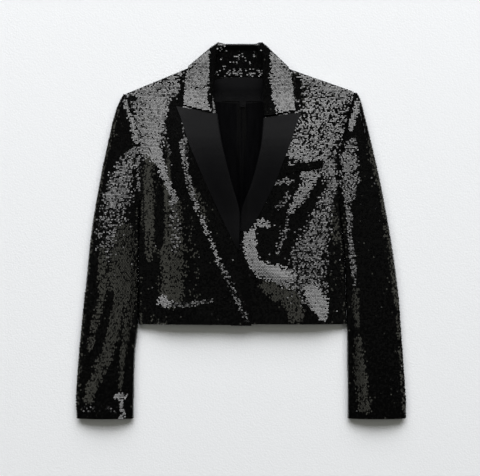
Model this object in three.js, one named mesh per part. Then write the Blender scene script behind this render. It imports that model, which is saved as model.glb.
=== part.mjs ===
// A short sequinned evening jacket, laid flat and face up.
// Millimetres. X runs to the wearer's left, Y to the collar, Z up from the surface.
// Every piece of cloth is a wall: a grid of points on its outer face, and the same points moved inwards.
import * as THREE from 'three';

// Cloth and seams
const SEQUIN_CLOTH = 1.8;
const SATIN = 1.6;
const LINING = 1.2;
const TAPE = 1.0;
const SEAM = 0.3;
const LAYER = 0.4; // air between pieces that lie on each other

// The folds at the sides and shoulders of the flat body
const FOLD = 12;
const SIDE_WRAP = 26; // side panel on the underside, from the fold to its seam
const SHOULDER_WRAP = 8;
const HEM = -171;
const UNDERARM = 59;
const SEAM_TOP = 50; // where the seams end, a little under the armhole
const CUFF = -345;

const SIDES = [
  { name: 'right', sign: -1 },
  { name: 'left', sign: 1 },
];

// How far each edge lies from the middle, on the wearer's right and left
const BODY_FOLD = [
  { y: -171, right: 189.5, left: 193.5 },
  { y: -62, right: 190.2, left: 190 },
  { y: 0, right: 189, left: 185.5 },
  { y: 59, right: 187.8, left: 178.5 },
];
const SIDE_SEAM = [
  { y: -171, right: 150, left: 162 },
  { y: -18, right: 150, left: 160 },
  { y: 24, right: 156, left: 162 },
  { y: 50, right: 172, left: 169 },
];
const ARMHOLE = [
  { y: 59, right: 187.8, left: 178.5 },
  { y: 90, right: 187.6, left: 178.2 },
  { y: 132, right: 187.2, left: 180.5 },
  { y: 162, right: 188.2, left: 184.5 },
  { y: 196, right: 193, left: 191.5 },
  { y: 218, right: 201, left: 197.5 },
  { y: 238, right: 210, left: 203 },
  { y: 254, right: 212, left: 208 },
];
const SLEEVE_OUTER = [
  { y: 253, right: 217, left: 213 },
  { y: 243, right: 223, left: 219.2 },
  { y: 221, right: 232.2, left: 224.8 },
  { y: 177, right: 243.3, left: 235.9 },
  { y: 88, right: 261.8, left: 256.2 },
  { y: -1, right: 276.6, left: 273 },
  { y: -90, right: 285.8, left: 285.8 },
  { y: -178, right: 295, left: 293.2 },
  { y: -267, right: 302.5, left: 299.5 },
  { y: -312, right: 304.8, left: 302.5 },
  { y: -345, right: 303.6, left: 302.2 },
];
const SLEEVE_INNER = [
  { y: 59, right: 188.4, left: 179.1 },
  { y: 0, right: 190, left: 186.4 },
  { y: -62, right: 191.2, left: 191.2 },
  { y: -173, right: 191.4, left: 194.7 },
  { y: -223, right: 197, left: 195.3 },
  { y: -345, right: 199.6, left: 196.7 },
];
const SHOULDER = {
  right: { tip: [209.2, 254.6], neck: [78, 309.6] },
  left: { tip: [205, 258], neck: [74, 304.2] },
};

// The front's edge from the hem to the neck point; t runs from 0 to 1 up the panel
const FRONT_EDGE = {
  right: [
    { t: 0, x: 17.6, y: -172.5 },
    { t: 0.2, x: 11.1, y: -78.6 },
    { t: 0.27, x: 6.5, y: -50 },
    { t: 0.33, x: -5, y: -26 },
    { t: 0.48, x: -6.5, y: 39 },
    { t: 0.61, x: -25, y: 102 },
    { t: 0.75, x: -39.8, y: 170 },
    { t: 0.88, x: -50, y: 233 },
    { t: 0.94, x: -60, y: 268 },
    { t: 1, x: -76, y: 303.5 },
  ],
  left: [
    { t: 0, x: -12, y: -170.5 },
    { t: 0.25, x: -14, y: -60 },
    { t: 0.36, x: -12, y: -18 },
    { t: 0.48, x: 5.5, y: 49 },
    { t: 0.6, x: 25.8, y: 102 },
    { t: 0.72, x: 38, y: 155 },
    { t: 0.85, x: 44, y: 214 },
    { t: 0.93, x: 56, y: 260 },
    { t: 1, x: 72, y: 298.4 },
  ],
};

// Lapels: the roll line, and the outer edge up to the peak
const LAPEL = {
  right: [
    { y: -31, roll: 3.5, edge: 8.5 },
    { y: 15, roll: 2.2, edge: 31.5 },
    { y: 39, roll: 3, edge: 42.5 },
    { y: 87.5, roll: 17, edge: 64.9 },
    { y: 155, roll: 33.5, edge: 94 },
    { y: 185, roll: 39, edge: 106 },
    { y: 215.5, roll: 43.5, edge: 119.8 },
  ],
  left: [
    { y: 1, roll: -6.6, edge: 11 },
    { y: 29.4, roll: -3, edge: 31.8 },
    { y: 49, roll: 2.4, edge: 41.5 },
    { y: 87.5, roll: 17.6, edge: 60.9 },
    { y: 155, roll: 34.4, edge: 86.5 },
    { y: 181, roll: 37, edge: 97.4 },
    { y: 207.5, roll: 39.2, edge: 109 },
  ],
};
const LAPEL_ROLL = 3.2; // radius of the soft edge where the lapel turns back
const PEAK_RISE = { right: 14, left: 10.4 }; // the peak stands above the lapel's top edge at the roll

// The collar's fall on each front: its edge at the neck, the crest of its roll, its outer edge
const COLLAR = {
  right: [
    { y: 219, inner: 52, crest: 57, edge: 105.6, slant: 13 },
    { y: 241, inner: 54, crest: 59, edge: 105, slant: 12 },
    { y: 270, inner: 50.5, crest: 56, edge: 103.4, slant: 6 },
    { y: 297, inner: 49, crest: 54, edge: 101, slant: -7 },
    { y: 318, inner: 48.2, crest: 53, edge: 97.5, slant: -19 },
  ],
  left: [
    { y: 213, inner: 41, crest: 53.7, edge: 97.2, slant: 10 },
    { y: 241, inner: 40, crest: 52.7, edge: 95.5, slant: 7 },
    { y: 270, inner: 39.5, crest: 51, edge: 93, slant: 0 },
    { y: 300, inner: 39, crest: 49, edge: 90, slant: -9 },
    { y: 320, inner: 38.5, crest: 46, edge: 86.5, slant: -21 },
  ],
};
// The collar's fold at each side of the neck, from its roll to its outer edge; lip is the hole's corner
const COLLAR_FOLD = {
  right: { lip: [43, 331], roll: [42, 344], edge: [95, 298.8] },
  left: { lip: [35.5, 332], roll: [34.5, 345.5], edge: [83, 298.3] },
};
const NECKLINE = 285;
const COLLAR_HEIGHT = 19; // where it folds at the side of the neck
const COLLAR_BACK = { roll: 344, lip: 336, edge: 277, lipHeight: 14.8 };
const STAND_RISE = 7.8; // from the neckline up to the roll

// Height of the body above its folds along its length, and of the sleeves' crown
const BODY_CREST = [
  { y: -171, rise: 9 },
  { y: -110, rise: 10.5 },
  { y: -40, rise: 14 },
  { y: 30, rise: 19 },
  { y: 90, rise: 25 },
  { y: 130, rise: 27 },
  { y: 165, rise: 24 },
  { y: 205, rise: 15 },
  { y: 245, rise: 6 },
  { y: 300, rise: 1 },
];
const SLEEVE_CROWN = [
  { y: 253, rise: 0.5 },
  { y: 235, rise: 5 },
  { y: 200, rise: 12 },
  { y: 130, rise: 15 },
  { y: 50, rise: 14 },
  { y: -100, rise: 11 },
  { y: -250, rise: 9 },
  { y: -345, rise: 8 },
];

// The largest folds: a straight ridge, or a trough where the height is negative
const BODY_FOLDS = [
  { fromX: -104, fromY: 150, toX: -8, toY: -150, width: 15, height: 3.5 },
  { fromX: -126, fromY: 140, toX: -60, toY: -40, width: 16, height: -3 },
  { fromX: -160, fromY: 150, toX: -128, toY: -165, width: 13, height: 3.5 },
  { fromX: -145, fromY: -127, toX: -60, toY: -127, width: 8, height: 1.6 },
  { fromX: 140, fromY: 112, toX: 90, toY: 20, width: 17, height: 4 },
  { fromX: 128, fromY: 84, toX: 62, toY: -60, width: 15, height: -3.5 },
  { fromX: 8, fromY: -30, toX: 104, toY: -104, width: 19, height: 4.5 },
  { fromX: 30, fromY: -96, toX: 70, toY: -160, width: 18, height: -3.5 },
  { fromX: 102, fromY: -45, toX: 102, toY: -123, width: 8, height: -1.6 },
];
const SLEEVE_FOLDS = [
  { fromX: -206, fromY: -110, toX: -284, toY: -310, width: 11, height: 4 },
  { fromX: -240, fromY: -100, toX: -279, toY: -220, width: 10, height: 3 },
  { fromX: -225, fromY: -120, toX: -262, toY: -260, width: 9, height: -3 },
  { fromX: -200, fromY: 120, toX: -258, toY: -40, width: 18, height: 3 },
  { fromX: 204, fromY: -80, toX: 226, toY: -330, width: 10, height: 3.5 },
  { fromX: 226, fromY: 40, toX: 244, toY: -280, width: 12, height: -2.5 },
  { fromX: 262, fromY: 60, toX: 280, toY: -250, width: 12, height: 3 },
];

// Rows up the body and down the sleeve; both share the ones along the armhole
const SEAM_ROWS = [-150, -128, -106, -84, -62, -40, -18, 4, 24, 38];
const ARMHOLE_ROWS = [72, 90, 108, 126, 144, 162, 180, 196, 212, 226, 238];
const SLEEVE_ROWS = [
  46, 30, 8, -14, -36, -58, -80, -102, -124, -146, -170, -194, -218, -242, -266, -290, -312, -330,
];

const FINISH = {
  sequins: { color: 0x1b1b1d, roughness: 0.3, metalness: 0.2 },
  satin: { color: 0x222226, roughness: 0.45, metalness: 0 },
  lining: { color: 0x15151a, roughness: 0.5, metalness: 0 },
  tape: { color: 0x0c0c0e, roughness: 0.7, metalness: 0 },
};

const jacket = new THREE.Group();
const point = (x, y, z) => new THREE.Vector3(x, y, z);
const mix = THREE.MathUtils.lerp;
const ease = (value) => THREE.MathUtils.smoothstep(value, 0, 1);

// A smooth curve through one column of a table, read by another column
function reader(table, column, by = 'y') {
  const rows = [...table].sort((a, b) => a[by] - b[by]);
  const slope = (i) => {
    const before = rows[Math.max(i - 1, 0)];
    const after = rows[Math.min(i + 1, rows.length - 1)];
    return (after[column] - before[column]) / (after[by] - before[by]);
  };
  return (at) => {
    let i = 0;
    while (i < rows.length - 2 && at > rows[i + 1][by]) i += 1;
    const low = rows[i];
    const high = rows[i + 1];
    const span = high[by] - low[by];
    const t = THREE.MathUtils.clamp((at - low[by]) / span, 0, 1);
    const start = 2 * t ** 3 - 3 * t ** 2 + 1;
    const leave = t ** 3 - 2 * t ** 2 + t;
    const arrive = t ** 3 - t ** 2;
    const bend = leave * slope(i) + arrive * slope(i + 1);
    return start * low[column] + (1 - start) * high[column] + span * bend;
  };
}

const outline = {};
for (const { name } of SIDES) {
  outline[name] = {
    fold: reader(BODY_FOLD, name),
    seam: reader(SIDE_SEAM, name),
    armhole: reader(ARMHOLE, name),
    outer: reader(SLEEVE_OUTER, name),
    inner: reader(SLEEVE_INNER, name),
    roll: reader(LAPEL[name], 'roll'),
    lapel: reader(LAPEL[name], 'edge'),
    frontX: reader(FRONT_EDGE[name], 'x', 't'),
    frontY: reader(FRONT_EDGE[name], 'y', 't'),
  };
}
const bodyCrest = reader(BODY_CREST, 'rise');
const sleeveCrown = reader(SLEEVE_CROWN, 'rise');
const sideOf = (x) => (x < 0 ? SIDES[0] : SIDES[1]);

// Ridges and troughs at a point: soft across, and fading out at both ends
function foldsAt(folds, x, y) {
  let height = 0;
  for (const fold of folds) {
    const alongX = fold.toX - fold.fromX;
    const alongY = fold.toY - fold.fromY;
    const length = Math.hypot(alongX, alongY);
    const along = ((x - fold.fromX) * alongX + (y - fold.fromY) * alongY) / length ** 2;
    if (along <= 0 || along >= 1) continue;
    const across = ((x - fold.fromX) * alongY - (y - fold.fromY) * alongX) / length;
    height += fold.height * Math.exp(-((across / fold.width) ** 2)) * Math.sin(Math.PI * along) ** 0.7;
  }
  return height;
}

// How far a point lies inside the shoulder's fold line
function insideShoulder(side, x, y) {
  const { tip, neck } = SHOULDER[side.name];
  const length = Math.hypot(neck[0] - tip[0], neck[1] - tip[1]);
  return ((tip[0] - Math.abs(x)) * (neck[1] - tip[1]) + (y - tip[1]) * (neck[0] - tip[0])) / length;
}

// At the neck everything lies on the collar, which goes round behind
const COLLAR_REACH = 96;
const collarBackEdge = (x, rise) => COLLAR_BACK.edge + rise * (x / COLLAR_REACH) ** 2;
function neckLift(x, y) {
  const START = 34; // how far below the collar's edge the cloth begins to rise
  const RUN = 26;
  const inwards = 1 - ease((Math.abs(x) - COLLAR_REACH) / 14);
  return (SEQUIN_CLOTH + LAYER) * ease((y + START - collarBackEdge(x, 24)) / RUN) * inwards;
}

// The top of the body where it lies flat: how far in from its edges the crest and the folds reach full height
const CREST_RUN = { side: 62, shoulder: 70 };
const FOLD_RUN = { side: 20, shoulder: 40 };
const HOLLOW_WIDTH = 45; // between the lapels the body lies lower
function bodyTop(x, y) {
  const side = sideOf(x);
  const edges = outline[side.name];
  const edge = y < UNDERARM ? edges.fold(y) : edges.armhole(y);
  const inside = edge - Math.abs(x) - FOLD / 2;
  const below = insideShoulder(side, x, y) - FOLD / 2;
  const hollow = 0.3 * Math.exp(-((x / HOLLOW_WIDTH) ** 2)) * ease((y + 40) / 80);
  const soft = ease(inside / CREST_RUN.side) * ease(below / CREST_RUN.shoulder);
  const folds = ease(inside / FOLD_RUN.side) * ease(below / FOLD_RUN.shoulder) * foldsAt(BODY_FOLDS, x, y);
  return FOLD + neckLift(x, y) + soft * (1 - hollow) * bodyCrest(y) + folds;
}

function heightNormal(height, x, y) {
  const step = 0.5;
  const slopeX = (height(x + step, y) - height(x - step, y)) / (2 * step);
  const slopeY = (height(x, y + step) - height(x, y - step)) / (2 * step);
  return point(-slopeX, -slopeY, 1).normalize();
}

// The left front lies lower where the right front and the lapels lap over it
const LAP_DEPTH = { front: 2.6, lapels: 7.4, from: -62, to: 62 };
function underLap(x, y) {
  const [hem, neck] = [FRONT_EDGE.right[0].y, FRONT_EDGE.right.at(-1).y];
  const edge = outline.right.frontX(THREE.MathUtils.clamp((y - hem) / (neck - hem), 0, 1));
  const { front: one, lapels, from, to } = LAP_DEPTH;
  const depth = mix(one, lapels, ease((y - from) / 40)) * (1 - ease((y - to) / 30));
  return depth * (1 - ease((x - Math.max(edge, -4) - 3) / 16));
}
const leftFrontTop = (x, y) => bodyTop(x, y) - underLap(x, y);

// One closed wall of cloth from rows of points on its outer face
function wall(name, rows, thickness, finish, { flip = false, normalAt = () => null } = {}) {
  const count = rows[0].length;
  const outer = rows.flat();
  const normals = outer.map(() => point(0, 0, 0));
  const cells = [];
  for (let i = 0; i < rows.length - 1; i += 1) {
    for (let j = 0; j < count - 1; j += 1) {
      const corner = [i * count + j, i * count + j + 1, (i + 1) * count + j + 1, (i + 1) * count + j];
      if (flip) corner.reverse();
      const [a, b, c, d] = corner;
      const short = outer[a].distanceTo(outer[c]) < outer[b].distanceTo(outer[d]);
      cells.push(...(short ? [[a, b, c], [a, c, d]] : [[a, b, d], [b, c, d]]));
    }
  }
  for (const [a, b, c] of cells) {
    const across = outer[b].clone().sub(outer[a]).cross(outer[c].clone().sub(outer[a]));
    for (const k of [a, b, c]) normals[k].add(across);
  }
  const inner = outer.map((p, k) => {
    const given = normalAt(Math.floor(k / count), k % count, p);
    return p.clone().addScaledVector(given ?? normals[k].normalize(), -thickness);
  });
  const index = [];
  for (const [a, b, c] of cells) index.push(a, b, c, a + outer.length, c + outer.length, b + outer.length);
  const last = rows.length - 1;
  const border = [];
  for (let j = 0; j < count - 1; j += 1) border.push([j, j + 1], [last * count + j + 1, last * count + j]);
  for (let i = 0; i < last; i += 1) {
    const [row, next] = [i * count, (i + 1) * count];
    border.push([next, row], [row + count - 1, next + count - 1]);
  }
  for (const [a, b] of border) {
    const [from, to] = flip ? [b, a] : [a, b];
    index.push(from, from + outer.length, to, to, from + outer.length, to + outer.length);
  }
  const geometry = new THREE.BufferGeometry().setFromPoints([...outer, ...inner]);
  geometry.setIndex(index);
  const mesh = new THREE.Mesh(geometry, new THREE.MeshStandardMaterial(FINISH[finish]));
  mesh.name = name;
  jacket.add(mesh);
}

// A path's points again, set closer together where it bends
function resample(path, count) {
  const BEND = 8; // millimetres of path that one radian of bend counts for
  const reach = [0];
  for (let i = 1; i < path.length; i += 1) {
    const step = path[i].clone().sub(path[i - 1]);
    const before = i > 1 ? path[i - 1].clone().sub(path[i - 2]) : step;
    reach.push(reach[i - 1] + step.length() + BEND * step.angleTo(before));
  }
  const total = reach[reach.length - 1];
  return Array.from({ length: count }, (_, k) => {
    const at = (total * k) / (count - 1);
    let i = 1;
    while (i < path.length - 1 && reach[i] < at) i += 1;
    return path[i - 1].clone().lerp(path[i], (at - reach[i - 1]) / (reach[i] - reach[i - 1]));
  });
}

// A patch between four borders: left and right run up, bottom and top run from left to right
function patch(left, right, bottom, top) {
  const rows = left.length;
  const columns = bottom.length;
  return left.map((start, i) => bottom.map((low, j) => {
    const v = i / (rows - 1);
    const u = j / (columns - 1);
    const plan = (key) => (1 - u) * left[i][key] + u * right[i][key] + (1 - v) * low[key] + v * top[j][key]
      - (1 - u) * (1 - v) * bottom[0][key] - u * (1 - v) * bottom[columns - 1][key]
      - (1 - u) * v * top[0][key] - u * v * top[columns - 1][key];
    return { x: plan('x'), y: plan('y') };
  }));
}
const along = (from, to, count) => Array.from({ length: count }, (_, k) => ({
  x: mix(from.x, to.x, k / (count - 1)),
  y: mix(from.y, to.y, k / (count - 1)),
}));

// The seam and the armhole, as a border of the front or of the back
function sideBorder(side, shift) {
  const { sign, name } = side;
  const edges = outline[name];
  const border = [{ x: sign * edges.seam(HEM), y: HEM }];
  for (const y of SEAM_ROWS) border.push({ x: sign * edges.seam(y), y });
  border.push({ x: sign * edges.seam(SEAM_TOP), y: SEAM_TOP + SEAM });
  border.push({ x: sign * (edges.fold(UNDERARM) - SEAM), y: UNDERARM + SEAM });
  for (const y of ARMHOLE_ROWS) border.push({ x: sign * (edges.armhole(y) - SEAM / 2 + shift(y)), y });
  const { tip } = SHOULDER[name];
  border.push({ x: sign * tip[0], y: tip[1] - FOLD / 2 });
  return border;
}

const FRONT_COLUMNS = 12;
function front(side) {
  const { sign, name } = side;
  const edges = outline[name];
  const outer = sideBorder(side, () => 0);
  const centre = outer.map((_, i) => {
    const t = i / (outer.length - 1);
    const even = mix(t, (outer[i].y - HEM) / (outer.at(-1).y - HEM), 0.8);
    const y = edges.frontY(even);
    const rolls = y > LAPEL[name][0].y - 12 && y < LAPEL[name].at(-1).y + 12;
    const tucked = sign * (edges.roll(y) + LAPEL_ROLL + 5 * SEAM);
    const x = edges.frontX(even);
    return { x: rolls ? sign * Math.max(sign * x, sign * tucked) : x, y };
  });
  const inset = SEAM / 2;
  for (const border of outer.slice(0, SEAM_ROWS.length + 2)) border.x -= sign * inset;
  const [left, right] = sign < 0 ? [outer, centre] : [centre, outer];
  const hem = along(left[0], right[0], FRONT_COLUMNS);
  const grid = patch(left, right, hem, along(left.at(-1), right.at(-1), FRONT_COLUMNS));
  const height = sign < 0 ? bodyTop : leftFrontTop;
  const rows = grid.map((row) => row.map(({ x, y }) => point(x, y, height(x, y))));
  // over the shoulder fold and a little way underneath
  const { tip, neck } = SHOULDER[name];
  const outwards = point(sign * (neck[1] - tip[1]), tip[0] - neck[0], 0).normalize();
  const top = rows.at(-1).map((p) => p.clone());
  for (const degrees of [36, 72, 108, 144, 180]) {
    const angle = THREE.MathUtils.degToRad(degrees);
    rows.push(top.map((p) => {
      const low = neckLift(p.x, p.y);
      const radius = (p.z - low) / 2;
      const z = low + radius * (1 + Math.cos(angle));
      return p.clone().addScaledVector(outwards, radius * Math.sin(angle)).setZ(z);
    }));
  }
  rows.push(top.map((p) => p.clone().addScaledVector(outwards, -SHOULDER_WRAP).setZ(neckLift(p.x, p.y))));
  wall(`front_${name}`, rows, SEQUIN_CLOTH, 'sequins', {
    normalAt: (i, j, p) => (i < outer.length ? heightNormal(height, p.x, p.y) : null),
  });
}

// Round the side fold, from the seam on the front to the seam on the back
function sidePanel(side) {
  const { sign, name } = side;
  const edges = outline[name];
  const rows = [HEM, ...SEAM_ROWS, SEAM_TOP].map((y) => {
    const rise = y === SEAM_TOP ? UNDERARM - y : 0;
    const seam = edges.seam(y) + SEAM / 2;
    const fold = edges.fold(y + rise);
    const radius = FOLD / 2;
    const flat = fold - radius;
    const path = [];
    const place = (reach, z) => {
      const back = z < radius ? fold - SIDE_WRAP : seam;
      const lifted = y - SEAM + rise * THREE.MathUtils.clamp((reach - back) / (fold - back), 0, 1);
      path.push(point(sign * reach, rise ? lifted : y, z));
    };
    for (let k = 0; k <= 8; k += 1) {
      const reach = mix(seam, flat, k / 8);
      place(reach, bodyTop(sign * reach, y));
    }
    for (let degrees = 15; degrees <= 180; degrees += 15) {
      const angle = THREE.MathUtils.degToRad(degrees);
      place(flat + radius * Math.sin(angle), radius * (1 + Math.cos(angle)));
    }
    place(fold - SIDE_WRAP + SEAM / 2, 0);
    return resample(path, 12);
  });
  wall(`side_panel_${name}`, rows, SEQUIN_CLOTH, 'sequins', {
    flip: sign < 0,
    normalAt: (i, j, p) => (j === 0 ? heightNormal(bodyTop, p.x, p.y) : null),
  });
}

// Underneath, the back's armhole is cut deeper than the front's
const ARMHOLE_DEPTH = 195;
const backArmhole = (y) => 5 * Math.sin((Math.PI * (y - UNDERARM)) / ARMHOLE_DEPTH);

// Flat underneath, on the collar at the neck
function back() {
  const border = (side) => {
    const edges = outline[side.name];
    const points = sideBorder(side, backArmhole);
    points.slice(0, SEAM_ROWS.length + 2).forEach((p) => {
      p.x = side.sign * (edges.fold(p.y > SEAM_TOP ? UNDERARM : p.y) - SIDE_WRAP - SEAM / 2);
    });
    // the last two points keep clear of the front's wrap over the shoulder
    const [near, end] = points.slice(-2);
    near.x -= side.sign * 2;
    near.y -= 6;
    end.x -= side.sign * 3;
    end.y = SHOULDER[side.name].tip[1] - FOLD / 2 - SHOULDER_WRAP - SEAM - 4;
    return points;
  };
  const [right, left] = SIDES.map(border);
  const [neckRight, neckLeft] = SIDES.map(({ name, sign }) => {
    const { tip, neck } = SHOULDER[name];
    const slope = (neck[1] - tip[1]) / (tip[0] - neck[0]);
    const x = neck[0] + 2;
    return { x: sign * x, y: tip[1] + (tip[0] - x) * slope - (FOLD / 2 + SHOULDER_WRAP + SEAM) * 1.12 };
  });
  const neck = along(neckRight, neckLeft, 7).map(({ x }) => {
    const end = x < 0 ? neckRight : neckLeft;
    return { x, y: mix(NECKLINE, end.y, (x / end.x) ** 4) };
  });
  const shoulderRight = along(right.at(-1), neckRight, 6).slice(0, -1);
  const shoulderLeft = along(neckLeft, left.at(-1), 6).slice(1);
  const top = [...shoulderRight, ...neck, ...shoulderLeft];
  const grid = patch(right, left, along(right[0], left[0], top.length), top);
  const rows = grid.map((row) => row.map(({ x, y }) => point(x, y, neckLift(x, y))));
  wall('back', rows, SEQUIN_CLOTH, 'sequins', { flip: true });
}

// One row across a sleeve, from the armhole or the inner seam underneath, over the top, to the outer seam
const SLEEVE_STRIP = 15; // of the upper sleeve that lies underneath, beside each fold
const GUSSET = 20; // below the armhole the inner fold opens over this length
const sleeveFold = (width) => Math.min(FOLD / 2, width * 0.8);
function sleeveRow(side, y) {
  const { sign, name } = side;
  const edges = outline[name];
  const open = y > UNDERARM;
  const { tip } = SHOULDER[name];
  const capped = Math.min(y, tip[1] - 3);
  const inner = open ? edges.armhole(capped) + SEAM / 2 : edges.inner(y);
  const outer = Math.max(edges.outer(capped), inner + 3.4);
  const width = outer - inner;
  const radius = sleeveFold(width);
  const rise = sleeveCrown(y);
  const high = (w) => {
    const t = THREE.MathUtils.clamp((w - (open ? 0 : radius)) / (width - radius * (open ? 1 : 2)), 0, 1);
    const x = sign * (inner + w);
    const folds = ease(Math.min(t, 1 - t) * 6) * foldsAt(SLEEVE_FOLDS, x, y);
    return FOLD + rise * Math.sin(Math.PI * t) ** 0.75 + folds;
  };
  const path = [];
  const place = (w, z) => path.push(point(sign * (inner + w), capped, z));
  const startAngle = y > UNDERARM - GUSSET ? 40 : 0;
  if (!open && startAngle === 0) place(SLEEVE_STRIP, 0);
  if (!open) {
    for (let degrees = startAngle; degrees < 180; degrees += 15) {
      const angle = THREE.MathUtils.degToRad(degrees);
      place(radius * (1 - Math.sin(angle)), radius * (1 - Math.cos(angle)));
    }
  }
  for (let k = 0; k <= 14; k += 1) {
    const w = mix(open ? 0 : radius, width - radius, k / 14);
    place(w, high(w));
  }
  for (let degrees = 15; degrees <= 180; degrees += 15) {
    const angle = THREE.MathUtils.degToRad(degrees);
    place(width - radius + radius * Math.sin(angle), (FOLD / 2) * (1 + Math.cos(angle)));
  }
  const gap = open ? backArmhole(capped) + SEAM : 0;
  place(Math.max(width - radius - SLEEVE_STRIP, Math.min(gap, width - radius - 0.5)), 0);
  return resample(path, 17);
}
const sleeveStations = (side) => [
  SHOULDER[side.name].tip[1] - 3, 247, ...[...ARMHOLE_ROWS].reverse(), UNDERARM + SEAM, ...SLEEVE_ROWS, CUFF,
];

function sleeve(side) {
  const { sign, name } = side;
  const edges = outline[name];
  const rows = sleeveStations(side).map((y) => sleeveRow(side, y));
  wall(`upper_sleeve_${name}`, rows, SEQUIN_CLOTH, 'sequins', { flip: sign > 0 });
  const NARROWEST = 5;
  const under = [];
  for (const y of sleeveStations(side)) {
    const radius = sleeveFold(edges.outer(y) - edges.armhole(y));
    const to = edges.outer(y) - radius - SLEEVE_STRIP - SEAM;
    let from = edges.inner(y) + SLEEVE_STRIP + SEAM;
    if (y > UNDERARM) from = edges.armhole(y) + backArmhole(y) + SEAM;
    else if (y > UNDERARM - GUSSET) from = edges.inner(y) + FOLD / 2;
    if (to - from < NARROWEST) continue;
    under.push(along({ x: sign * from, y }, { x: sign * to, y }, 4).map((p) => point(p.x, p.y, 0)));
  }
  wall(`under_sleeve_${name}`, under, SEQUIN_CLOTH, 'sequins', { flip: sign < 0 });
}

// The satin lapel rolls over the front's edge and lies on the front
function lapel(side) {
  const { sign, name } = side;
  const edges = outline[name];
  const table = LAPEL[name];
  const bottom = table[0].y;
  const top = table.at(-1).y;
  const ground = sign < 0 ? bodyTop : leftFrontTop;
  const rows = Array.from({ length: 17 }, (_, i) => {
    const y = mix(bottom, top, i / 16);
    const roll = edges.roll(y);
    const reach = edges.lapel(y) - roll;
    const radius = Math.min(LAPEL_ROLL, reach / 2.2);
    const base = ground(sign * (roll + radius), y);
    const path = [];
    for (let degrees = 0; degrees < 180; degrees += 20) {
      const angle = THREE.MathUtils.degToRad(degrees);
      const x = sign * (roll + radius * (1 - Math.sin(angle)));
      path.push(point(x, y, base - SEQUIN_CLOTH + radius * (1 - Math.cos(angle))));
    }
    for (let k = 0; k <= 8; k += 1) {
      const w = mix(radius, reach, k / 8);
      const x = sign * (roll + w);
      const lift = mix(2 * radius - SEQUIN_CLOTH, LAYER + SATIN + 0.2, ease(k / 8));
      const rise = PEAK_RISE[name] * (w / reach) * ease((i - 12) / 4);
      path.push(point(x, y + rise, Math.max(ground(x, y + rise) + lift, 0)));
    }
    return resample(path, 11);
  });
  wall(`lapel_${name}`, rows, SATIN, 'satin', { flip: sign < 0 });
}

// The collar's fall on one front: up over its roll, then down to its outer edge
const COLLAR_LOFT = 7.8; // of its roll above the body
const ROLL_RADIUS = 5;
function fallOnFront(side) {
  const { sign, name } = side;
  const table = COLLAR[name];
  const columns = ['inner', 'crest', 'edge', 'slant'];
  const [inner, crest, edge, slant] = columns.map((column) => reader(table, column));
  const stations = table.flatMap((row, i) => (i ? [(row.y + table[i - 1].y) / 2, row.y] : [row.y]));
  return stations.map((y) => {
    const rolled = crest(y) - inner(y);
    const ground = Math.max(bodyTop(sign * crest(y), y), bodyTop(sign * inner(y), y));
    const top = ground + COLLAR_LOFT;
    const path = [];
    for (let degrees = -20; degrees < 90; degrees += 11) {
      const angle = THREE.MathUtils.degToRad(degrees);
      const x = sign * (crest(y) - rolled * Math.cos(angle));
      path.push(point(x, y, top + ROLL_RADIUS * (Math.sin(angle) - 1)));
    }
    for (let k = 0; k <= 8; k += 1) {
      const x = sign * mix(crest(y), edge(y), k / 8);
      const at = mix(y, y + slant(y), k / 8);
      const low = bodyTop(x, Math.min(at, 292)) + LAYER + SEQUIN_CLOTH + 0.4;
      path.push(point(x, at, mix(top, low, ease(k / 8))));
    }
    return resample(path, 9);
  });
}

// Four points over the roll at the back of the neck, then five to the edge under the back
const BACK_COLUMNS = [-28, -10, 10, 24];
function collarBackSection(x) {
  const { roll, lip, lipHeight } = COLLAR_BACK;
  const over = [
    point(x, lip, lipHeight),
    point(x, roll - 2.6, COLLAR_HEIGHT - 0.6),
    point(x, roll + 0.2, COLLAR_HEIGHT - 3.2),
    point(x, roll + 0.8, COLLAR_HEIGHT / 2),
  ];
  const under = along({ x, y: roll - 1 }, { x, y: collarBackEdge(x, 24) }, 6).slice(1);
  return [...over, ...under.map((p) => point(p.x, p.y, 0))];
}

// At the side of the neck the collar's roll goes on to the back, and its fall goes over and under
const FOLD_BULGE = { roll: 5.5, edge: 6 };
const OVER_BULGE = 1.5; // for each point outwards from the lip
const FOLD_END = 0.92; // share of the way to the back's first section
function collarSideFold(side) {
  const { sign, name } = side;
  const [lip, roll, edge] = ['lip', 'roll', 'edge'].map((key) => {
    const [x, y] = COLLAR_FOLD[name][key];
    return point(sign * x, y, 0);
  });
  const axis = edge.clone().sub(roll).normalize();
  const outwards = point(-sign * axis.y, sign * axis.x, 0);
  const first = [
    lip.clone().setZ(COLLAR_BACK.lipHeight),
    lip.clone().lerp(roll, 0.4).setZ(COLLAR_HEIGHT - 1.4),
    lip.clone().lerp(roll, 0.75).setZ(COLLAR_HEIGHT - 0.3),
    roll.clone().lerp(edge, 0.03).setZ(COLLAR_HEIGHT),
  ];
  const last = collarBackSection(sign < 0 ? BACK_COLUMNS[0] : BACK_COLUMNS.at(-1));
  const radius = COLLAR_HEIGHT / 2;
  return [0, 30, 60, 90, 120, 150, 180].map((degrees) => {
    const angle = THREE.MathUtils.degToRad(degrees);
    const turned = FOLD_END * (degrees / 180) ** 2;
    // past the middle of the fold it runs on to the back
    const over = first.map((p, k) => {
      const bulge = k * OVER_BULGE * Math.sin(angle);
      return p.clone().lerp(last[k], turned).addScaledVector(outwards, bulge);
    });
    const under = [0.2, 0.4, 0.6, 0.8, 1].map((share) => {
      const bulge = mix(FOLD_BULGE.roll, FOLD_BULGE.edge, share) * Math.sin(angle);
      const z = radius * (1 + Math.cos(angle));
      return roll.clone().lerp(edge, share).addScaledVector(outwards, bulge).setZ(z);
    });
    return [...over, ...under];
  });
}

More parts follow.
